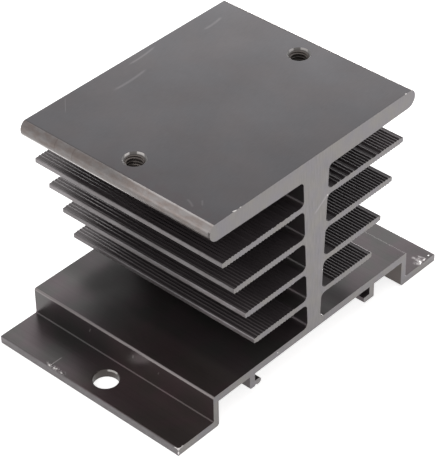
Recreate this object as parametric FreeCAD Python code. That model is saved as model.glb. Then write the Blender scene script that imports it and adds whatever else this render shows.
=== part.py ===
import FreeCAD
import Part
import math
import os

# Heat sink for a solid state relay: one aluminium extrusion, sawn off, drilled and tapped.
# Millimetres. X runs across the section, Y along the extrusion, Z up from the flange feet.
# The origin is on the foot plane, below the middle of the block.

# Block
length = 50.0
height = 50.0

# Mounting plate that the relay is screwed to, with half round edges and a skimmed top
plate_width = 60.0
plate_edge_thickness = 4.0
plate_root_thickness = 4.4
plate_skim = 0.2

# Web that carries the heat down, wider towards the plate
web_top_width = 7.6
web_foot_width = 3.8
web_fillet = 1.2
plate_fillet = 1.0

# Fins on each side of the web, from the plate down
fin_reaches = (26.8, 23.7, 20.5, 18.0)
fin_root_thickness = 1.25
fin_tip_thickness = 1.15
fin_tip_rounding = 0.2
plate_to_first_fin = 6.85
base_to_last_fin = 6.75

# Lengthwise ribs on both faces of every fin, each with a flat crest, sloping shoulders
# and steep flanks; the first fin's upper face lacks some, counted from the tip
rib_height = 0.15
rib_crest_width = 0.12
rib_shoulder_width = 0.2
rib_shoulder_drop = 0.065
rib_flank_width = 0.09
rib_groove_width = 0.1
rib_free_strip = 0.9
last_rib_from_tip = 1.15
first_fin_missing_ribs = (8, 10, 17, 20, 22)

# Base: raised bed on two risers, with a flange at each side
base_width = 80.0
bed_width = 59.8
bed_top = 8.2
bed_thickness = 1.8
riser_thickness = 1.5
flange_thickness = 1.8
foot_chamfer = 0.4
bed_edge_rounding = 0.45
riser_foot_fillet = 0.3
flange_edge_rounding = 0.25

# Rail hooks under the bed, one facing the other
rail_slot_width = 35.6
rail_mouth_width = 32.0
rail_slot_height = 1.9
hook_wall = 1.5
hook_lip = 1.4
hook_rounding = 0.5
hook_notch_width = 0.6
hook_notch_depth = 0.35

# Tapped holes for the relay, M4, with a countersunk mouth
relay_hole_spacing = 47.6
relay_tap_drill = 3.3
relay_mouth = 4.8

# Screw holes in the flanges, with the rim broken, drilled a little nearer the front end
flange_hole_from_end = 5.0
flange_hole = 5.4
flange_rim_break = 0.15
flange_hole_offset = -0.4

# Levels and half widths that follow from the sizes above
plate_underside = height - plate_edge_thickness
plate_root_level = height - plate_root_thickness
bed_underside = bed_top - bed_thickness
riser_inside = bed_width / 2 - riser_thickness
flange_hole_spacing = base_width - 2 * flange_hole_from_end
rib_foot_half = rib_crest_width / 2 + rib_shoulder_width + rib_flank_width
rib_pitch = 2 * rib_foot_half + rib_groove_width
rib_start = web_top_width / 2 + web_fillet + rib_free_strip
first_fin_level = plate_underside - plate_to_first_fin
last_fin_level = bed_top + base_to_last_fin
fin_pitch = (first_fin_level - last_fin_level) / (len(fin_reaches) - 1)


def across(x, z):
    # A point of the section, in the plane of the front end face.
    return FreeCAD.Vector(x, -length / 2, z)


def fillet_arc(before, corner, after, radius):
    # Start, middle and end of the arc that rounds the corner between two straight runs.
    inward = (before - corner).normalize()
    outward = (after - corner).normalize()
    half_angle = inward.getAngle(outward) / 2
    reach = radius / math.tan(half_angle)
    bisector = (inward + outward).normalize()
    middle = corner + bisector * (radius / math.sin(half_angle) - radius)
    return corner + inward * reach, middle, corner + outward * reach


class Outline:
    # A run of lines and arcs through the section's points, each corner sharp or rounded.

    def __init__(self, x, z):
        self.stops = [(across(x, z), 0.0, None)]

    def line(self, x, z, rounding=0.0):
        self.stops.append((across(x, z), rounding, None))

    def arc(self, through, end):
        self.stops.append((across(*end), 0.0, across(*through)))

    def edges(self):
        made = []
        here = self.stops[0][0]
        for index in range(1, len(self.stops)):
            point, rounding, through = self.stops[index]
            if through is not None:
                made.append(Part.Arc(here, through, point).toShape())
            elif rounding > 0:
                start, middle, end = fillet_arc(here, point, self.stops[index + 1][0], rounding)
                made.append(Part.LineSegment(here, start).toShape())
                made.append(Part.Arc(start, middle, end).toShape())
                point = end
            else:
                made.append(Part.LineSegment(here, point).toShape())
            here = point
        return made


def web_half_width(level):
    # The web narrows evenly from the plate's root down to the bed.
    share = (level - bed_top) / (plate_root_level - bed_top)
    return (web_foot_width + (web_top_width - web_foot_width) * share) / 2


def draw_plate(outline):
    # Skimmed top, half round edge, and an underside that thickens towards the web.
    edge_radius = (plate_edge_thickness + plate_skim) / 2
    centre_x = plate_width / 2 - edge_radius
    centre_z = plate_underside + edge_radius
    flat_half = centre_x + math.sqrt(edge_radius**2 - (edge_radius - plate_skim)**2)
    outline.line(flat_half, height)
    outline.arc((plate_width / 2, centre_z), (centre_x, plate_underside))
    outline.line(web_half_width(plate_root_level), plate_root_level, plate_fillet)


def fin_half_thickness(middle, reach, x):
    # Half the plain fin's thickness, which tapers evenly from the web to the tip.
    root = web_half_width(middle)
    share = (x - root) / (reach - root)
    return (fin_root_thickness + (fin_tip_thickness - fin_root_thickness) * share) / 2


def rib_corners(reach, missing=()):
    # Place and height of every rib's corners on the plain face, from the web to the tip.
    crest = rib_crest_width / 2
    shoulder = crest + rib_shoulder_width
    rising = [
        (-rib_foot_half, 0),
        (-shoulder, rib_height - rib_shoulder_drop),
        (-crest, rib_height),
    ]
    falling = [(-offset, rise) for offset, rise in reversed(rising)]
    last_centre = reach - last_rib_from_tip
    count = int((last_centre - rib_foot_half - rib_start) / rib_pitch) + 1
    corners = []
    for from_tip in reversed(range(count)):
        if from_tip not in missing:
            centre = last_centre - rib_pitch * from_tip
            corners += [(centre + offset, rise) for offset, rise in rising + falling]
    return corners


def draw_fin(outline, middle, reach, missing=()):
    # One fin: ribbed upper face out to the blunt tip, and the ribs back underneath.
    upper = middle + fin_root_thickness / 2
    lower = middle - fin_root_thickness / 2
    half_tip = fin_tip_thickness / 2
    outline.line(web_half_width(upper), upper, web_fillet)
    for x, rise in rib_corners(reach, missing):
        outline.line(x, middle + fin_half_thickness(middle, reach, x) + rise)
    outline.line(reach, middle + half_tip, fin_tip_rounding)
    outline.line(reach, middle - half_tip, fin_tip_rounding)
    for x, rise in reversed(rib_corners(reach)):
        outline.line(x, middle - fin_half_thickness(middle, reach, x) - rise)
    outline.line(web_half_width(lower), lower, web_fillet)


def draw_base(outline):
    # Bed, riser and flange, then back along the foot to the middle of the bed's underside.
    outline.line(web_half_width(bed_top), bed_top, web_fillet)
    outline.line(bed_width / 2, bed_top, bed_edge_rounding)
    outline.line(bed_width / 2, flange_thickness, riser_foot_fillet)
    outline.line(base_width / 2, flange_thickness, flange_edge_rounding)
    outline.line(base_width / 2, 0)
    outline.line(riser_inside + foot_chamfer, 0)
    outline.line(riser_inside, foot_chamfer)
    outline.line(riser_inside, bed_underside)
    outline.line(0, bed_underside)


def extrude(edges):
    face = Part.Face(Part.Wire(Part.__sortEdges__(edges)))
    return face.extrude(FreeCAD.Vector(0, length, 0))


def body():
    # The symmetric section: the right half and its mirror image make one closed outline.
    outline = Outline(0, height)
    draw_plate(outline)
    for number, reach in enumerate(fin_reaches):
        missing = first_fin_missing_ribs if number == 0 else ()
        draw_fin(outline, first_fin_level - fin_pitch * number, reach, missing)
    draw_base(outline)
    right = outline.edges()
    left = [edge.mirror(FreeCAD.Vector(), FreeCAD.Vector(1, 0, 0)) for edge in right]
    return extrude(right + left)


def hook(side, notched):
    # A wall that hangs from the bed, with a lip towards the middle; side is 1 right, -1 left.
    inner = rail_slot_width / 2
    outer = inner + hook_wall
    mouth = rail_mouth_width / 2
    lip_top = bed_underside - rail_slot_height
    lip_bottom = lip_top - hook_lip
    outline = Outline(side * inner, bed_underside)
    outline.line(side * inner, lip_top)
    if notched:
        # Fixed hook: half round lip end and a small groove underneath, outer corner eased.
        radius = hook_lip / 2
        outline.line(side * (mouth + radius), lip_top)
        outline.arc((side * mouth, lip_top - radius), (side * (mouth + radius), lip_bottom))
        outline.line(side * (inner - hook_notch_width), lip_bottom)
        outline.line(side * (inner - hook_notch_width / 2), lip_bottom + hook_notch_depth)
        outline.line(side * inner, lip_bottom)
        outline.line(side * outer, lip_bottom, hook_rounding)
    else:
        # Plain hook: square lip end with its lower corner rounded.
        outline.line(side * mouth, lip_top)
        outline.line(side * mouth, lip_bottom, hook_rounding)
        outline.line(side * outer, lip_bottom)
    outline.line(side * outer, bed_underside)
    outline.line(side * inner, bed_underside)
    return extrude(outline.edges())


def relay_hole(side):
    # Tap drill through the plate, from the root of the thickest part, with a countersunk mouth.
    centre = FreeCAD.Vector(side * relay_hole_spacing / 2, 0, 0)
    drill = relay_tap_drill / 2
    mouth = relay_mouth / 2
    bore = Part.makeCylinder(drill, plate_root_thickness, centre + FreeCAD.Vector(0, 0, plate_root_level))
    sink = mouth - drill
    cone = Part.makeCone(drill, mouth, sink, centre + FreeCAD.Vector(0, 0, height - sink))
    return bore.fuse(cone)


def flange_screw_hole(side):
    # Clearance hole through a flange, its upper rim broken at 45 degrees.
    centre = FreeCAD.Vector(side * flange_hole_spacing / 2, flange_hole_offset, 0)
    radius = flange_hole / 2
    bore = Part.makeCylinder(radius, flange_thickness, centre)
    rim = Part.makeCone(
        radius,
        radius + flange_rim_break,
        flange_rim_break,
        centre + FreeCAD.Vector(0, 0, flange_thickness - flange_rim_break),
    )
    return bore.fuse(rim)


def heat_sink():
    solid = body().fuse([hook(-1, True), hook(1, False)])
    holes = [make(side) for make in (relay_hole, flange_screw_hole) for side in (-1, 1)]
    return solid.cut(holes).removeSplitter()


os.makedirs("parts", exist_ok=True)
block = heat_sink()
block.exportStep("parts/heat_sink_body.step")
print("heat_sink_body:", len(block.Solids), "solid,", len(block.Faces), "faces, valid", block.isValid())
print("volume", round(block.Volume / 1000, 2), "cm3, box", block.BoundBox)
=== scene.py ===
import math

import bpy
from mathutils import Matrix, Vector


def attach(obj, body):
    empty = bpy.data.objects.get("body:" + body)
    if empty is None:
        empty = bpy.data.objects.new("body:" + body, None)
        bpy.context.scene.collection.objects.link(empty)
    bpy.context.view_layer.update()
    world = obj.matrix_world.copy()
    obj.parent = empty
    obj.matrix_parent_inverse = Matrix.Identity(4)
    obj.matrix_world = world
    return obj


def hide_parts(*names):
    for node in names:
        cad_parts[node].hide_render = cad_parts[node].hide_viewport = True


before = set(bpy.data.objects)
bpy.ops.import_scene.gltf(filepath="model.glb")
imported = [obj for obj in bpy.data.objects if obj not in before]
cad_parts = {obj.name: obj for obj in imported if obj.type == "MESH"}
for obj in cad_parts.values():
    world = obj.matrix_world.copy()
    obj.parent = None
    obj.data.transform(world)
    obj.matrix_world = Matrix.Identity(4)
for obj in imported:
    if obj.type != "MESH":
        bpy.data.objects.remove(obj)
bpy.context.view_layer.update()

mm = 0.001


# Small tools for working as by hand

def deselectAll():
    if bpy.context.object and bpy.context.object.mode != "OBJECT":
        bpy.ops.object.mode_set(mode="OBJECT")
    bpy.ops.object.select_all(action="DESELECT")


def selectOnly(piece):
    deselectAll()
    piece.select_set(True)
    bpy.context.view_layer.objects.active = piece


def editAll(piece):
    selectOnly(piece)
    bpy.ops.object.mode_set(mode="EDIT")
    bpy.ops.mesh.select_all(action="SELECT")


def backToObject():
    bpy.ops.object.mode_set(mode="OBJECT")


def linkPiece(piece):
    bpy.context.scene.collection.objects.link(piece)
    return piece


def removePiece(piece):
    bpy.data.objects.remove(piece, do_unlink=True)


def applyModifier(piece, kind, settings):
    selectOnly(piece)
    modifier = piece.modifiers.new(kind.title(), kind)
    for name, value in settings.items():
        setattr(modifier, name, value)
    bpy.ops.object.modifier_apply(modifier=modifier.name)


def cutWith(piece, tool, operation="DIFFERENCE", **settings):
    applyModifier(piece, "BOOLEAN", {"operation": operation, "object": tool, "solver": "EXACT", **settings})
    removePiece(tool)


def drawLine(name, points, closed=False):
    # A run of edges through the points, for spin or screw to sweep.
    deselectAll()
    edges = [(i, i + 1) for i in range(len(points) - 1)]
    if closed:
        edges.append((len(points) - 1, 0))
    mesh = bpy.data.meshes.new(name)
    mesh.from_pydata(points, edges, [])
    return linkPiece(bpy.data.objects.new(name, mesh))


def lathe(name, profile, centre, segments):
    # Turns a profile of (radius, height) about the upright line through the centre; it starts and ends on that line.
    x, y = centre
    piece = drawLine(name, [(x + radius, y, height) for radius, height in profile])
    editAll(piece)
    bpy.ops.mesh.spin(steps=segments, angle=math.radians(360), center=(x, y, 0), axis=(0, 0, 1))
    bpy.ops.mesh.select_all(action="SELECT")
    bpy.ops.mesh.remove_doubles(threshold=0.0005 * mm)
    bpy.ops.mesh.normals_make_consistent(inside=False)
    backToObject()
    return piece


# Materials

class Wire:
    # One value or colour in a node tree; sums and products add the Math nodes they need.

    def __init__(self, sheet, socket):
        self.sheet = sheet
        self.socket = socket

    def maths(self, operation, *values):
        return self.sheet.node("ShaderNodeMath", {"operation": operation}, dict(enumerate(values)))

    def __add__(self, other):
        return self.maths("ADD", self, other)

    def __radd__(self, other):
        return self.maths("ADD", other, self)

    def __sub__(self, other):
        return self.maths("SUBTRACT", self, other)

    def __rsub__(self, other):
        return self.maths("SUBTRACT", other, self)

    def __mul__(self, other):
        return self.maths("MULTIPLY", self, other)

    def __rmul__(self, other):
        return self.maths("MULTIPLY", other, self)

    def __truediv__(self, other):
        return self.maths("DIVIDE", self, other)

    def __rtruediv__(self, other):
        return self.maths("DIVIDE", other, self)

    def __abs__(self):
        return self.maths("ABSOLUTE", self)

    def wrapped(self):
        # What is left over whole turns, from 0 to 1.
        return self.maths("FRACT", self)

    def atLeast(self, other):
        return self.maths("MAXIMUM", self, other)

    def above(self, edge, width):
        # 0 below the edge and 1 above it, with a soft step of that width.
        settings = {"interpolation_type": "SMOOTHSTEP", "clamp": True}
        inputs = {"Value": self, "From Min": edge - width / 2, "From Max": edge + width / 2}
        return self.sheet.node("ShaderNodeMapRange", settings, inputs)

    def below(self, edge, width):
        return 1 - self.above(edge, width)

    def near(self, centre, reach, width):
        # 1 within that reach of the centre, with a soft step of that width.
        return abs(self - centre).below(reach, width)


def strongest(masks):
    best = masks[0]
    for mask in masks[1:]:
        best = best.atLeast(mask)
    return best


class NodeSheet:
    # The nodes of one material or of the world.

    def __init__(self, tree):
        self.tree = tree
        self.tree.nodes.clear()

    def node(self, kind, settings, inputs, output=0):
        made = self.tree.nodes.new(kind)
        for name, value in settings.items():
            setattr(made, name, value)
        for key, value in inputs.items():
            self.connect(made.inputs[key], value)
        return Wire(self, made.outputs[output])

    def connect(self, socket, value):
        if isinstance(value, Wire):
            self.tree.links.new(value.socket, socket)
        elif isinstance(value, tuple) and len(value) == 3 and socket.type == "RGBA":
            socket.default_value = (*value, 1)
        else:
            socket.default_value = value

    def shown(self):
        # 1 for what the camera sees, straight, in gloss or through glass, and 0 for light on the object.
        kinds = ("Is Camera Ray", "Is Glossy Ray", "Is Transmission Ray")
        return strongest([self.node("ShaderNodeLightPath", {}, {}, kind) for kind in kinds])


class Finish(NodeSheet):
    # A material under construction, with the piece's own coordinates in millimetres.

    def __init__(self, name):
        self.material = bpy.data.materials.new(name)
        self.material.use_nodes = True
        super().__init__(self.material.node_tree)
        output = self.tree.nodes.new("ShaderNodeOutputMaterial")
        self.shader = self.tree.nodes.new("ShaderNodeBsdfPrincipled")
        self.tree.links.new(self.shader.outputs[0], output.inputs[0])
        place = self.node("ShaderNodeTexCoord", {}, {}, "Object")
        place = self.node("ShaderNodeVectorMath", {"operation": "SCALE"}, {0: place, "Scale": 1 / mm})
        self.x, self.y, self.z = [self.node("ShaderNodeSeparateXYZ", {}, {0: place}, axis) for axis in range(3)]

    def noise(self, density, detail=3.0, roughness=0.5, shift=0):
        # Noise with its own density along each axis, shifted where a pattern shouldn't follow another.
        x, y, z = [axis * share for axis, share in zip((self.x, self.y, self.z), density)]
        place = self.node("ShaderNodeCombineXYZ", {}, {0: x + shift, 1: y, 2: z})
        inputs = {"Vector": place, "Scale": 1.0, "Detail": detail, "Roughness": roughness}
        return self.node("ShaderNodeTexNoise", {}, inputs)

    def area(self, **limits):
        # 1 inside a soft box: xFrom, xTo and so on each give an edge and the width of its soft step.
        masks = []
        for limit, (edge, width) in limits.items():
            axis = getattr(self, limit[0])
            masks.append(axis.above(edge, width) if limit.endswith("From") else axis.below(edge, width))
        return math.prod(masks)

    def shade(self, *changes):
        # 1, and more or less by an amount in each of some soft boxes.
        return 1 + sum(amount * self.area(**place) for amount, place in changes)

    def stroke(self, across, up, start, end, width, bow=0.0):
        # 1 on a scratch between two points of a plane, fading out at its sides and ends.
        du, dv = end[0] - start[0], end[1] - start[1]
        length = math.hypot(du, dv)
        u, v = across - start[0], up - start[1]
        share = (u * du + v * dv) / length**2
        side = (u * dv - v * du) / length - 4 * bow * share * (1 - share)
        return share.above(0.1, 0.2) * share.below(0.9, 0.2) * abs(side).below(width / 2, width)

    def blend(self, share, first, second):
        settings = {"data_type": "RGBA", "blend_type": "MIX", "clamp_factor": True}
        return self.node("ShaderNodeMix", settings, {0: share, 6: first, 7: second}, 2)

    def tint(self, colour, strength):
        # A colour made lighter or darker by a varying strength.
        return self.node("ShaderNodeVectorMath", {"operation": "SCALE"}, {0: colour, "Scale": strength})

    def bump(self, height, strength, distance):
        return self.node("ShaderNodeBump", {}, {"Strength": strength, "Distance": distance, "Height": height})

    def finish(self, **sockets):
        for name, value in sockets.items():
            self.connect(self.shader.inputs[name.replace("_", " ")], value)
        return self.material


# Places in these looks are in millimetres; From and To give an edge and the width of its soft step
bedTop = dict(zFrom=(7.9, 0.2), zTo=(8.6, 0.4))
leftRiser = dict(xFrom=(-30.0, 0.1), xTo=(-29.8, 0.1))
leftFoot = dict(xFrom=(-37, 3), xTo=(-20, 4))
nearTip = dict(yTo=(-11, 12), zFrom=(5, 2))

# The plain skin
skinLook = dict(
    anodising=((0.111, 0.0905, 0.097), (0.097, 0.0915, 0.0905)),
    warmer=((0.119, 0.087, 0.092), (0.106, 0.0885, 0.086)),
    warmCorner=dict(xTo=(-22, 6), yTo=(4, 10)),
    # A painted highlight along the bed's left edge
    edgeHighlight=(0.3, 0.27, 0.27),
    leftBedEdge=dict(xTo=(-29.5, 0.1), zFrom=(7.72, 0.1), zTo=(8.6, 0.4)),
    rightBedEdge=dict(xFrom=(29.35, 0.1), zFrom=(7.7, 0.1), zTo=(8.6, 0.4)),
    # Painted shade at the far sides, beside the web, under the fins and on the far bed
    farRight=(-0.17, dict(xFrom=(20, 10))),
    farLeft=(-0.28, dict(leftFoot, yFrom=(1, 12))),
    farLeftEnd=(0.196, dict(leftFoot, yFrom=(19, 6))),
    besideWeb=(-0.45, dict(bedTop, xFrom=(7, 4), xTo=(17, 10))),
    underFins=(-0.15, dict(bedTop, xFrom=(-29.4, 0.2), xTo=(-14, 8), yFrom=(-12, 8), yTo=(19, 6))),
    farBed=(-0.45, dict(bedTop, xFrom=(-21, 5), xTo=(-4, 2), yFrom=(12, 8))),
    flangeTop=dict(zTo=(2.4, 0.4)),
    wearAndHighlight=(0.55, 0.52, 0.52),
    rubs=(  # start, end and width, then the edge and softness of the crumbs in it
        ((34.2, -24.6), (37.6, -23.4), 1.3, 0.5, 0.25),
        ((35.9, -24.9), (35.9, -21.8), 0.5, 0.4, 0.3),
        ((37.4, -24.9), (36.9, -22.4), 0.4, 0.45, 0.3),
        ((-39.5, 6.2), (-39.5, 12.6), 0.8, 0.53, 0.1),
    ),
    scratch=((-39.2, 10.9), (-36.1, 10.85), 0.2),
    speck=(0.4, 0.36, 0.36),
    specks=(
        ((8.7, 6.6), (9.2, 5.4), 0.24),
        ((-3.3, 6.6), (-3.1, 5.5), 0.28),
        ((-10.4, 6.2), (-10.0, 5.3), 0.22),
    ),
    # Painted shade on the left riser opposite the flange hole
    shadeOppositeHole=(-0.3, dict(leftRiser, yFrom=(-6.2, 3), yTo=(-1.2, 3), zFrom=(4.2, 1.5))),
    pocketWall=(0.155, 0.133, 0.117),
    pocket=dict(xFrom=(28.25, 0.1), xTo=(28.55, 0.1), zTo=(6.3, 0.1)),
)


def extrudedSkin():
    # Satin black anodising over the die lines, which run along the extrusion.
    look = Finish("extrudedSkin")
    lines = look.noise((2.2, 0.015, 2.2), 4.0, 0.6)
    smudge = look.noise((0.12, 0.09, 0.12))
    hue = look.noise((0.16, 0.16, 0.16), 2.0, shift=40).above(0.5, 0.25)
    cool = look.blend(hue, *skinLook["anodising"])
    warm = look.blend(hue, *skinLook["warmer"])
    colour = look.blend(look.area(**skinLook["warmCorner"]), cool, warm)
    colour = look.tint(colour, 0.75 + 0.3 * lines + 0.2 * smudge)

    # Painted highlight along the bed's left edge, and painted shade at the far sides, beside the web and under the
    # fins
    colour = look.blend(look.area(**skinLook["leftBedEdge"]) * 0.8, colour, skinLook["edgeHighlight"])
    paintedShades = [skinLook[name] for name in ("farRight", "farLeft", "farLeftEnd", "besideWeb", "underFins")]
    colour = look.tint(colour, look.shade(*paintedShades) * look.shade(skinLook["farBed"]))

    # Rubbed spots on the flanges, around their chips
    crumb = look.noise((2.6, 2.6, 2.6), 3.0, 0.6)
    rubs = [look.stroke(look.x, look.y, *skinLook["scratch"]) * 0.5]
    for start, end, width, edge, softness in skinLook["rubs"]:
        rubs.append(look.stroke(look.x, look.y, start, end, width) * crumb.above(edge, softness))
    onFlange = look.area(**skinLook["flangeTop"])
    colour = look.blend(onFlange * strongest(rubs) * 0.7, colour, skinLook["wearAndHighlight"])

    # Small specks on the left riser, painted shade on it opposite the flange hole, and paler pocket walls
    specks = strongest([look.stroke(look.y, look.z, *speck) for speck in skinLook["specks"]])
    colour = look.blend(look.area(**leftRiser) * specks * 0.6, colour, skinLook["speck"])
    colour = look.tint(colour, look.shade(skinLook["shadeOppositeHole"]))
    colour = look.blend(look.area(**skinLook["pocket"]) * 0.5, colour, skinLook["pocketWall"])
    dull = 0.25 + 0.08 * smudge + 0.4 * look.area(**skinLook["rightBedEdge"])
    return look.finish(Base_Color=colour, Metallic=0.7, Roughness=dull, Normal=look.bump(lines, 0.25, 0.01 * mm))


# The ribbed fins
finLook = dict(
    # The fins darkened as painted shade for the gaps, painted light at the far left ends, and a painted highlight on
    # the ribs' crests
    black=(0.055, 0.0475, 0.051),
    pale=(0.27, 0.254, 0.26),
    crest=(0.22, 0.2, 0.205),
    lowestFin=14.95,
    finPitch=8.067,
    ribStart=0.1,
    ribPitch=0.8,
    tipAtFoot=12.55,  # the fin tips' distance from the middle, carried down to foot level
    tipGrowth=0.364,  # and its growth for each millimetre up
    farEnd=dict(xTo=(-14, 4), yFrom=(18, 10)),
    leftFins=dict(xTo=(-5, 1), zTo=(35, 4)),
    rightFins=dict(xFrom=(0, 1)),
    firstTip=dict(xFrom=(19, 5), zFrom=(36, 1)),
)


def finSkin():
    # Duller than the rest of the skin, darker as painted shade for the gaps between the fins, and with painted light
    # on top at the far left ends.
    look = Finish("finSkin")
    smudge = look.noise((0.3, 0.12, 0.3))
    # Painted light on the upper faces at the far left ends
    upperFace = ((look.z - finLook["lowestFin"]) / finLook["finPitch"]).wrapped().below(0.5, 0.05)
    farEnd = look.area(**finLook["farEnd"]) * upperFace
    colour = look.blend(farEnd * 0.9, finLook["black"], finLook["pale"])

    # Painted highlights on the ribs' crests near the tips on the left
    alongRibs = ((abs(look.x) - finLook["ribStart"]) / finLook["ribPitch"] + 0.5).wrapped()
    fromTip = finLook["tipAtFoot"] + finLook["tipGrowth"] * look.z - abs(look.x)
    outer = look.area(**finLook["leftFins"]) * fromTip.below(5.5, 6) * (1 - farEnd)
    colour = look.blend(alongRibs.near(0.5, 0.14, 0.14) * outer * 0.65, colour, finLook["crest"])

    # Painted shade on the right fins, and painted light on the first fin's outer part
    colour = look.tint(colour, look.shade((-0.22, finLook["rightFins"]), (0.65, finLook["firstTip"])))
    dull = 0.45 + 0.1 * smudge + 0.25 * farEnd + 0.12 * look.area(**finLook["rightFins"])
    return look.finish(
        Base_Color=look.tint(colour, 0.8 + 0.4 * smudge),
        Metallic=0.2,
        Roughness=dull,
        Specular_IOR_Level=0.08,
        Specular_Tint=(0.5, 0.5, 0.5),
    )


# The plate's half round edges, the fin tips and the flanges' outer faces
edgeLook = dict(
    brown=((0.15, 0.127, 0.119), (0.175, 0.163, 0.161)),
    grey=((0.14, 0.127, 0.13), (0.165, 0.155, 0.16)),
    plate=dict(zFrom=(45.0, 1.0)),
    # Painted light along the tips; the third tip is darker along its middle
    farTips=(0.45, dict(yFrom=(17, 6), zFrom=(27, 2))),
    nearTips=(0.7, dict(nearTip, zTo=(27, 2))),
    lowestTip=(0.35, dict(nearTip, zTo=(19, 4))),
    thirdTipMiddle=(-0.3, dict(yFrom=(-7.5, 5), yTo=(4.5, 5), zFrom=(29.5, 1), zTo=(32.5, 1))),
    # Painted light on the upper half of the plate's edges, strongest at the near end
    upperHalf=(0.14, dict(zFrom=(48.6, 0.6))),
    nearUpperHalf=(0.75, dict(yTo=(-4, 10), zFrom=(48.6, 0.6))),
    darkPatch=(0.1, 0.078, 0.07),
    stainPlaces=(15.6, 10.8),
    # A painted highlight along parts of the rims
    wearAndHighlight=(0.6, 0.57, 0.565),
    upperRim=dict(yTo=(-3, 12), zFrom=(49.84, 0.12)),
    lowerRim=dict(yFrom=(-9, 12), zFrom=(45.0, 1.0), zTo=(47.35, 0.3)),
    # Painted shade at the near left corner
    cornerShadeColour=(0.04, 0.034, 0.034),
    cornerShade=dict(xTo=(-28.5, 0.2), yTo=(-24.5, 0.3), zFrom=(47.4, 0.4), zTo=(48.8, 0.4)),
    rightSide=dict(xFrom=(0, 2)),
)


def paleEdge():
    # Paler than the skin, partly in its own tone and partly as painted reflection: mottled brown on the plate's
    # edges, greyer on the fin tips.
    look = Finish("paleEdge")
    mottle = look.noise((0.5, 0.35, 0.9), 4.0, 0.6)
    fine = look.noise((2.0, 1.2, 2.0), 3.0, 0.6)
    plate = look.area(**edgeLook["plate"])
    # Painted light along the tips, paler at their far and near ends and on the lowest tip; the third tip is darker
    # along its middle
    tips = [edgeLook[name] for name in ("farTips", "nearTips", "lowestTip", "thirdTipMiddle")]
    grey = look.tint(look.blend(mottle.above(0.5, 0.3), *edgeLook["grey"]), look.shade(*tips))
    brown = look.blend(mottle.above(0.5, 0.3), *edgeLook["brown"])
    stains = strongest([look.y.near(place, 0.12, 0.2) for place in edgeLook["stainPlaces"]])
    brown = look.blend(stains * 0.5, brown, edgeLook["darkPatch"])
    colour = look.blend(plate, grey, brown)
    # Painted light on the upper half of the plate's edges, strongest at the near end
    colour = look.tint(colour, look.shade(edgeLook["upperHalf"], edgeLook["nearUpperHalf"]))

    # Painted highlights along parts of the rims, and painted shade at the near left corner
    rims = (look.area(**edgeLook["upperRim"]) * 0.7).atLeast(look.area(**edgeLook["lowerRim"]))
    wearAndHighlight = rims * mottle.above(0.38, 0.3) * 0.85
    colour = look.blend(wearAndHighlight, look.tint(colour, 0.85 + 0.3 * fine), edgeLook["wearAndHighlight"])
    colour = look.blend(look.area(**edgeLook["cornerShade"]) * 0.8, colour, edgeLook["cornerShadeColour"])
    dull = 0.34 + 0.3 * look.area(**edgeLook["rightSide"]) * (1 - plate)
    return look.finish(Base_Color=colour, Metallic=0.7, Roughness=dull)


# The relay's seat
topLook = dict(
    anodising=((0.0765, 0.0726, 0.0782), (0.0788, 0.0716, 0.0755)),
    # Painted light across the top: paler towards the right and the back
    middleTone=0.98,
    toneAlongX=0.0025,
    toneAlongY=0.002,
    darkPatchColour=(0.0665, 0.0565, 0.0605),
    darkPatch=dict(xTo=(-25.6, 3), yTo=(4, 12)),
    rimColour=(0.035, 0.027, 0.026),
    rimFrom=(28.5, 0.4),
    rimEnd=dict(yFrom=(-6, 10)),
    scuffed=(0.5, 0.48, 0.49),
    scuffs=(  # start, end, width, bow and strength
        ((-10.5, 19.1), (0, 19.5), 0.5, 0.35, 0.12),
        ((17.5, 20.6), (24, 21.2), 0.5, 0.3, 0.12),
        ((-2, 23.2), (7, 23.9), 0.4, 0.3, 0.14),
        ((-22, 20.5), (-18, 24.7), 0.15, 0.0, 0.10),
        ((-27.5, -18.5), (-26.3, -15.8), 0.4, 0.2, 0.08),
        ((-26.0, -19.5), (-24.6, -18.2), 0.3, 0.0, 0.08),
    ),
)


def skimmedTop():
    # Machined flat before anodising, with light handling marks.
    look = Finish("skimmedTop")
    grain = look.noise((0.6, 5.0, 0), 3.0, 0.6)
    cloud = look.noise((0.06, 0.06, 0), 2.0)
    patch = look.noise((0.45, 0.45, 0), 3.0, 0.6)
    hue = look.noise((0.11, 0.11, 0), 2.0, shift=7).above(0.5, 0.3)
    # Painted light: paler towards the right and the back
    paintedLightSlope = topLook["middleTone"] + topLook["toneAlongX"] * look.x + topLook["toneAlongY"] * look.y
    tone = (0.69 + 0.3 * grain + 0.2 * cloud + 0.12 * patch) * paintedLightSlope
    colour = look.tint(look.blend(hue, *topLook["anodising"]), tone)
    # Darker purple patches along the left edge
    darkPatch = look.area(**topLook["darkPatch"]) * patch.above(0.47, 0.2)
    colour = look.blend(darkPatch * 0.75, colour, topLook["darkPatchColour"])
    rim = abs(look.x).above(*topLook["rimFrom"]) * look.area(**topLook["rimEnd"])
    colour = look.blend(rim * 0.6, colour, topLook["rimColour"])
    scuffs = [strength * look.stroke(look.x, look.y, *mark) for *mark, strength in topLook["scuffs"]]
    colour = look.blend(sum(scuffs), colour, topLook["scuffed"])
    normal = look.bump(grain, 0.15, 0.005 * mm)
    return look.finish(Base_Color=colour, Metallic=0.8, Roughness=0.27 + 0.06 * cloud, Normal=normal)


# The sawn cross sections
endLook = dict(
    sawn=((0.234, 0.222, 0.237), (0.25, 0.236, 0.226)),
    webHalf=(5, 2),
    streakColour=(0.5, 0.48, 0.49),
    streak=((3.6, 38.8), (-0.6, 35.9), 0.45),
)


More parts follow.
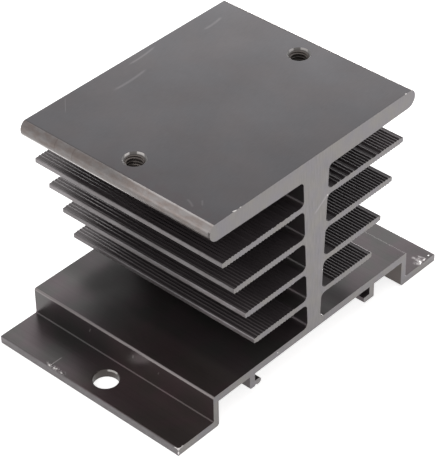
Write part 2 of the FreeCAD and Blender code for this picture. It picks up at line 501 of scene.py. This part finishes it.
def sawnEnd():
    # Anodised after cutting: paler, with saw lines that are strongest on the web.
    look = Finish("sawnEnd")
    lines = look.noise((4.0, 0, 0.25), 3.0, 0.6)
    patch = look.noise((0.25, 0, 0.25), 2.0).above(0.5, 0.4)
    web = abs(look.x).below(*endLook["webHalf"])
    tone = 0.87 + 0.26 * lines + 0.4 * web * (lines - 0.5)
    colour = look.tint(look.blend(patch, *endLook["sawn"]), tone)
    streak = look.stroke(look.x, look.z, *endLook["streak"])
    colour = look.blend(streak * 0.3, colour, endLook["streakColour"])
    return look.finish(Base_Color=colour, Metallic=0.5, Roughness=0.5, Normal=look.bump(lines, 0.2, 0.02 * mm))


def bareMetal():
    # Raw aluminium where the finish is knocked off.
    look = Finish("bareMetal")
    grain = look.noise((5, 5, 5), 2.0)
    return look.finish(Base_Color=look.tint((0.75, 0.72, 0.71), 0.7 + 0.5 * grain), Metallic=0.9, Roughness=0.4)


# The countersinks' cones and the walls of the drilled holes
holeLook = dict(
    # The cones' back painted paler than their front, painted glints, and painted shade at their foot
    cone=((0.2, 0.192, 0.192), (0.13, 0.12, 0.115)),
    glintColour=(0.62, 0.59, 0.58),
    away=(0.73, 0.68),  # the direction to the back of the hole, as the camera sees it
    aside=(0.69, -0.72),  # and the direction to its side
    glints=((-1.45, 0.45), (1.15, 0.7)),  # place to the side, and reach
    glintFrom=(0.7, 0.5),
    backFrom=(1.4, 0.8),
    coneTop=dict(zFrom=(49.7, 0.25)),
    coneFoot=(-0.5, dict(zTo=(49.68, 0.15))),
    rightHole=(-0.35, dict(xFrom=(0, 2))),
    tappedWall=(0.125, 0.108, 0.1),
    flangeWall=(0.078, 0.068, 0.062),
    flange=dict(zTo=(3, 1)),
    # A painted glint on the flange holes' walls
    wallGlint=(0.5, 0.48, 0.465),
    wallGlintFrom=(2.1, 0.3),
    wallGlintPlace=dict(yFrom=(-0.9, 0.4), yTo=(1.3, 0.5), zFrom=(1.42, 0.12)),
)


def acrossHole(look, holeX):
    # X from the middle of the hole, for both holes at once.
    return look.x + holeX - 2 * holeX * look.x.above(0, 2)


def countersunkRim():
    # Painted glints at the back on both sides of a dull notch, the back of the cone painted paler than its front,
    # and painted shade at its foot.
    look = Finish("countersunkRim")
    across = acrossHole(look, tapped["x"] / mm)
    away, aside = [across * holeLook[name][0] + look.y * holeLook[name][1] for name in ("away", "aside")]
    glints = strongest([aside.near(place, reach, 0.3) for place, reach in holeLook["glints"]])
    glints = glints * away.above(*holeLook["glintFrom"]) * look.area(**holeLook["coneTop"])
    dull = look.blend(away.above(*holeLook["backFrom"]), *holeLook["cone"])
    dull = look.tint(dull, look.shade(holeLook["coneFoot"]))
    colour = look.blend(glints * look.shade(holeLook["rightHole"]), dull, holeLook["glintColour"])
    return look.finish(Base_Color=colour, Metallic=0.4, Roughness=0.4)


def drilledWall():
    # The bores, and the thread cut into them.
    look = Finish("drilledWall")
    rings = look.noise((0, 0, 6), 2.0)
    flange = look.area(**holeLook["flange"])
    colour = look.blend(flange, holeLook["tappedWall"], holeLook["flangeWall"])
    colour = look.tint(colour, 0.7 + 0.6 * rings)
    # A painted glint high on the flange holes' walls
    glint = acrossHole(look, flangeHole["x"] / mm).above(*holeLook["wallGlintFrom"])
    glint = glint * look.area(**holeLook["wallGlintPlace"]) * flange
    colour = look.blend(glint * 0.9, colour, holeLook["wallGlint"])
    return look.finish(Base_Color=colour, Metallic=0.7, Roughness=0.35)


# The finished extrusion
sink = dict(
    node="heat_sink_body",
    piece="anodisedExtrusion",
    slot="anodised_aluminium",
    halfLength=25 * mm,
    top=50 * mm,
    weldGap=0.002 * mm,
    flatAngle=0.5,
    edgeBreak=0.06 * mm,
    edgeSegments=2,
    edgeAngle=50,
    smoothAngle=40,
    flatWeight=50,
    finTips=((26.8 * mm, 39.15 * mm), (23.7 * mm, 31.08 * mm), (20.5 * mm, 23.02 * mm), (18.0 * mm, 14.95 * mm)),
    tipDepth=0.22 * mm,
    tipHalfHeight=0.7 * mm,
    plateEdge=(27.9 * mm, 45.5 * mm),
    flangeFace=39.9 * mm,
    finsFrom=9.0 * mm,
    finsTo=45.0 * mm,
    leftFinsFrom=-5.0 * mm,
    rightRootTo=5.2 * mm,
    rightRootLevels=(8.25 * mm, 9.5 * mm),
)

# Tapped holes for the relay
tapped = dict(
    x=23.8 * mm,
    major=2.0 * mm,
    minor=1.65 * mm,
    mouth=2.45 * mm,
    pitch=0.7 * mm,
    plateUnderside=46.0 * mm,
    segments=64,
)

# Screw holes in the flanges
flangeHole = dict(
    x=35.0 * mm,
    y=-0.4 * mm,
    radius=2.72 * mm,
    rim=2.87 * mm,
    thickness=1.8 * mm,
    segments=72,
)

overcut = 1 * mm  # how far a cutter stands out of the metal


def copyNode(nodeName, pieceName):
    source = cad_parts[nodeName]
    piece = linkPiece(bpy.data.objects.new(pieceName, source.data.copy()))
    piece.data.materials.clear()
    selectOnly(piece)
    bpy.ops.mesh.customdata_custom_splitnormals_clear()
    editAll(piece)
    bpy.ops.mesh.remove_doubles(threshold=sink["weldGap"])
    bpy.ops.mesh.dissolve_limited(angle_limit=math.radians(sink["flatAngle"]))
    backToObject()
    return piece


def tappedCutter(side):
    # The hole at the thread's outer diameter, opening out to the countersunk mouth.
    foot = tapped["plateUnderside"] - overcut
    top = sink["top"]
    profile = [
        (0, foot),
        (tapped["major"], foot),
        (tapped["major"], top - tapped["mouth"] + tapped["major"]),
        (tapped["mouth"] + overcut, top + overcut),
        (0, top + overcut),
    ]
    return lathe("tappedCutter", profile, (side * tapped["x"], 0), tapped["segments"])


def flangeCutter(side):
    # The clearance hole with its broken rim.
    rim = flangeHole["rim"] - flangeHole["radius"]
    top = flangeHole["thickness"]
    profile = [
        (0, -overcut),
        (flangeHole["radius"], -overcut),
        (flangeHole["radius"], top - rim),
        (flangeHole["rim"] + overcut, top + overcut),
        (0, top + overcut),
    ]
    return lathe("flangeCutter", profile, (side * flangeHole["x"], flangeHole["y"]), flangeHole["segments"])


def onPaleEdge(centre):
    # True on the plate's half round edges, the fin tips and the flanges' outer faces.
    x, z = abs(centre.x), centre.z
    edgeX, edgeZ = sink["plateEdge"]
    if x > edgeX and z > edgeZ or x > sink["flangeFace"]:
        return True
    depth, half = sink["tipDepth"], sink["tipHalfHeight"]
    return any(x > reach - depth and abs(z - level) < half for reach, level in sink["finTips"])


def onFin(centre):
    # True for the fins, and on the right for the rounded corners at the lowest fin's foot too.
    amongFins = sink["finsFrom"] < centre.z < sink["finsTo"]
    if centre.x > 0:
        low, high = sink["rightRootLevels"]
        return amongFins or centre.x < sink["rightRootTo"] and low < centre.z < high
    return amongFins and centre.x < sink["leftFinsFrom"]


def inHole(centre, x, y, radius):
    return math.hypot(abs(centre.x) - x, centre.y - y) < radius


def finishOf(centre, normal):
    # The finish that a face takes, from its place and the way it points.
    touching = 0.01 * mm
    square, level, steep = 0.99, 0.9, 0.3
    if abs(normal.y) > square and abs(abs(centre.y) - sink["halfLength"]) < touching:
        return sawnEnd
    if normal.z > square and centre.z > sink["top"] - touching:
        return skimmedTop
    inPlate = centre.z > tapped["plateUnderside"] - 0.5 * mm
    if inPlate and inHole(centre, tapped["x"], 0, tapped["mouth"]):
        return countersunkRim if normal.z > steep else drilledWall
    inFlange = centre.z < flangeHole["thickness"] and normal.z < level
    if inFlange and inHole(centre, flangeHole["x"], flangeHole["y"], flangeHole["rim"]):
        return drilledWall
    if onPaleEdge(centre):
        return paleEdge
    return finSkin if onFin(centre) else extrudedSkin


def dressExtrusion(piece):
    finishes = (extrudedSkin, skimmedTop, sawnEnd, drilledWall, countersunkRim, paleEdge, finSkin)
    for make in finishes:
        piece.data.materials.append(make())
    for face in piece.data.polygons:
        face.material_index = finishes.index(finishOf(face.center, face.normal))


# Chips and dents in millimetres, each a place and the half size of the ball that knocks it out
chips = (
    ((-39.97, -24.97, 1.70), (0.42, 0.38, 0.34)),
    ((-40.00, -25.00, 0.70), (0.22, 0.24, 0.45)),
    ((-38.90, -25.00, 1.72), (0.50, 0.16, 0.14)),
    ((-23.00, -25.02, 50.02), (0.70, 0.20, 0.16)),
    ((-21.60, -25.00, 50.02), (0.25, 0.12, 0.10)),
    ((27.00, -25.00, 50.03), (0.30, 0.22, 0.18)),
    ((-39.50, -25.01, 1.76), (0.55, 0.12, 0.12)),
    ((-40.00, -24.35, 1.74), (0.12, 0.60, 0.12)),
    ((35.40, -24.70, 1.87), (0.42, 0.18, 0.13)),
    ((35.90, -24.30, 1.88), (0.30, 0.50, 0.13)),
    ((36.90, -24.50, 1.88), (0.45, 0.18, 0.13)),
    ((38.70, -24.30, 1.89), (0.30, 0.22, 0.14)),
    ((-39.68, 7.60, 1.86), (0.22, 0.34, 0.13)),
    ((-39.72, 9.75, 1.85), (0.36, 0.30, 0.17)),
    ((-39.45, 9.25, 1.88), (0.24, 0.42, 0.13)),
    ((-39.70, 11.10, 1.86), (0.34, 0.30, 0.16)),
    ((-39.30, 10.85, 1.89), (0.42, 0.16, 0.12)),
    ((-38.75, 10.90, 1.89), (0.22, 0.12, 0.11)),
    ((-11.00, -25.02, 7.40), (0.16, 0.08, 0.14)),
    ((2.50, -25.03, 20.50), (0.22, 0.09, 0.20)),
    ((3.40, -25.03, 38.50), (0.18, 0.09, 0.22)),
)
chipTurns = (-0.35, 0.0, 0.35)  # radians, taken in turn


def chipTool():
    # All the small knocks as one cutter: faceted balls, each turned its own way.
    tools = []
    for number, (place, size) in enumerate(chips):
        deselectAll()
        bpy.ops.mesh.primitive_ico_sphere_add(subdivisions=2, radius=1 * mm, location=[v * mm for v in place])
        tool = bpy.context.object
        tool.rotation_euler = (0.0, 0.0, chipTurns[number % len(chipTurns)])
        tool.scale = size
        tools.append(tool)
    deselectAll()
    for tool in tools:
        tool.select_set(True)
    bpy.context.view_layer.objects.active = tools[0]
    bpy.ops.object.join()
    tool = bpy.context.object
    bpy.ops.object.transform_apply(location=True, rotation=True, scale=True)
    tool.data.materials.append(bareMetal())
    return tool


def makeExtrusion():
    piece = copyNode(sink["node"], sink["piece"])
    for side in (-1, 1):
        cutWith(piece, tappedCutter(side))
        cutWith(piece, flangeCutter(side))
    dressExtrusion(piece)
    applyModifier(piece, "BEVEL", {
        "width": sink["edgeBreak"],
        "segments": sink["edgeSegments"],
        "limit_method": "ANGLE",
        "angle_limit": math.radians(sink["edgeAngle"]),
        "use_clamp_overlap": True,
    })
    cutWith(piece, chipTool(), use_self=True, material_mode="TRANSFER")
    selectOnly(piece)
    bpy.ops.object.shade_smooth_by_angle(angle=math.radians(sink["smoothAngle"]))
    applyModifier(piece, "WEIGHTED_NORMAL", {
        "mode": "FACE_AREA",
        "weight": sink["flatWeight"],
        "keep_sharp": True,
    })
    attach(piece, "root")
    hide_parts(sink["node"])
    print("extrusion:", len(piece.data.polygons), "faces")


# The threads of the tapped holes
threads = dict(
    pieces=((-1, "relayThreadLeft"), (1, "relayThreadRight")),
    halfRoot=0.3 * mm,
    halfCrest=0.09 * mm,
    buried=0.04 * mm,
    turns=8,
    steps=48,
    footGap=0.1 * mm,
    trimOutside=0.02 * mm,
    trimInside=0.3 * mm,
    sliver=0.002 * mm,
    smoothAngle=30,
)


def windThread(side, name):
    # A ridge of the thread's section, wound up the hole from below the plate and closed at its ends.
    centreX = side * tapped["x"]
    start = tapped["plateUnderside"] - tapped["pitch"]
    root = centreX + tapped["major"] + threads["buried"]
    crest = centreX + tapped["minor"]
    piece = drawLine(name, [
        (root, 0, start - threads["halfRoot"]),
        (crest, 0, start - threads["halfCrest"]),
        (crest, 0, start + threads["halfCrest"]),
        (root, 0, start + threads["halfRoot"]),
    ], closed=True)
    pivot = linkPiece(bpy.data.objects.new("threadAxis", None))
    pivot.location = (centreX, 0, 0)
    bpy.context.view_layer.update()
    applyModifier(piece, "SCREW", {
        "axis": "Z",
        "object": pivot,
        "screw_offset": tapped["pitch"],
        "iterations": threads["turns"],
        "steps": threads["steps"],
        "render_steps": threads["steps"],
        "use_merge_vertices": False,
    })
    removePiece(pivot)
    editAll(piece)
    bpy.ops.mesh.select_all(action="DESELECT")
    bpy.ops.mesh.select_non_manifold()
    bpy.ops.mesh.edge_face_add()
    bpy.ops.mesh.select_all(action="SELECT")
    bpy.ops.mesh.normals_make_consistent(inside=False)
    backToObject()
    return piece


def threadTrim(side):
    # Where the thread may be: above the plate's underside and outside the countersink's cone.
    foot = tapped["plateUnderside"] + threads["footGap"]
    coneFoot = sink["top"] - tapped["mouth"]
    outer = tapped["major"] + threads["trimOutside"]
    inner = tapped["minor"] - threads["trimInside"]
    profile = [
        (0, foot),
        (outer, foot),
        (outer, coneFoot + outer),
        (inner, coneFoot + inner),
        (0, coneFoot + inner),
    ]
    return lathe("threadTrim", profile, (side * tapped["x"], 0), tapped["segments"])


def makeThread(side, name):
    piece = windThread(side, name)
    cutWith(piece, threadTrim(side), "INTERSECT")
    editAll(piece)
    bpy.ops.mesh.remove_doubles(threshold=threads["sliver"])
    bpy.ops.mesh.dissolve_degenerate(threshold=threads["sliver"])
    backToObject()
    piece.data.materials.append(drilledWall())
    selectOnly(piece)
    bpy.ops.object.shade_smooth_by_angle(angle=math.radians(threads["smoothAngle"]))
    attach(piece, "root")
    print(name, len(piece.data.polygons), "faces")


# Floor, light and camera
studio = dict(
    floorSize=4,
    floorLevel=-0.02 * mm,
    floorColour=(0.9, 0.9, 0.9),
    floorRoughness=0.9,
    floorGlow=(0.75, 0.75, 0.75),
    background=(1, 1, 1),
    softLight=(1, 0.985, 0.97),
    softStrength=0.7,
)

# The one lamp, an area lamp as a window; brightness 1 is as white as the background
window = dict(
    name="backRightWindow",
    azimuth=52,
    elevation=9,
    distance=0.8,
    size=(0.6, 0.24),
    brightness=16.0,
    aim=(0, 0, 25 * mm),
)

# The photograph's camera
cameraSetup = dict(
    place=(-251.78 * mm, -234.18 * mm, 289.91 * mm),
    turn=(51.628, 0.71, -47.613),
    lens=169.07,
    sensor=36,
    shift=(-0.0061, 0.0143),
    nearest=0.01,
)


def makeFloor():
    deselectAll()
    bpy.ops.mesh.primitive_plane_add(size=studio["floorSize"], location=(0, 0, studio["floorLevel"]))
    floor = bpy.context.object
    floor.name = "floor"
    look = Finish("paleFloor")
    glow = look.blend(look.shown(), (0, 0, 0), studio["floorGlow"])
    floor.data.materials.append(look.finish(
        Base_Color=studio["floorColour"],
        Roughness=studio["floorRoughness"],
        Emission_Color=glow,
        Emission_Strength=1.0,
    ))


def makeWorld():
    # White where it shows, and a softer, warmer light on the object.
    world = bpy.data.worlds.new("studio")
    bpy.context.scene.world = world
    world.use_nodes = True
    sky = NodeSheet(world.node_tree)
    soft = {"Color": studio["softLight"], "Strength": studio["softStrength"]}
    soft = sky.node("ShaderNodeBackground", {}, soft)
    white = sky.node("ShaderNodeBackground", {}, {"Color": studio["background"], "Strength": 1.0})
    output = sky.tree.nodes.new("ShaderNodeOutputWorld")
    sky.connect(output.inputs["Surface"], sky.node("ShaderNodeMixShader", {}, {0: sky.shown(), 1: soft, 2: white}))


def makeWindow():
    a, e = math.radians(window["azimuth"]), math.radians(window["elevation"])
    direction = Vector((math.sin(a) * math.cos(e), math.cos(a) * math.cos(e), math.sin(e)))
    width, height = window["size"]
    deselectAll()
    bpy.ops.object.light_add(type="AREA", location=Vector(window["aim"]) + direction * window["distance"])
    lamp = bpy.context.object
    lamp.name = window["name"]
    lamp.data.shape = "RECTANGLE"
    lamp.data.size, lamp.data.size_y = width, height
    lamp.data.energy = window["brightness"] * math.pi * width * height
    lamp.rotation_euler = (-direction).to_track_quat("-Z", "Y").to_euler()


def makeCamera():
    data = bpy.data.cameras.new("camera")
    camera = linkPiece(bpy.data.objects.new("camera", data))
    camera.location = cameraSetup["place"]
    camera.rotation_euler = [math.radians(angle) for angle in cameraSetup["turn"]]
    data.lens = cameraSetup["lens"]
    data.sensor_width = cameraSetup["sensor"]
    data.shift_x, data.shift_y = cameraSetup["shift"]
    data.clip_start = cameraSetup["nearest"]
    bpy.context.scene.camera = camera


makeCamera()
print("camera placed")
makeExtrusion()
for side, name in threads["pieces"]:
    makeThread(side, name)
print("threads cut")
makeFloor()
makeWorld()
makeWindow()
bpy.context.scene.view_settings.view_transform = "Standard"
print("floor and light set")
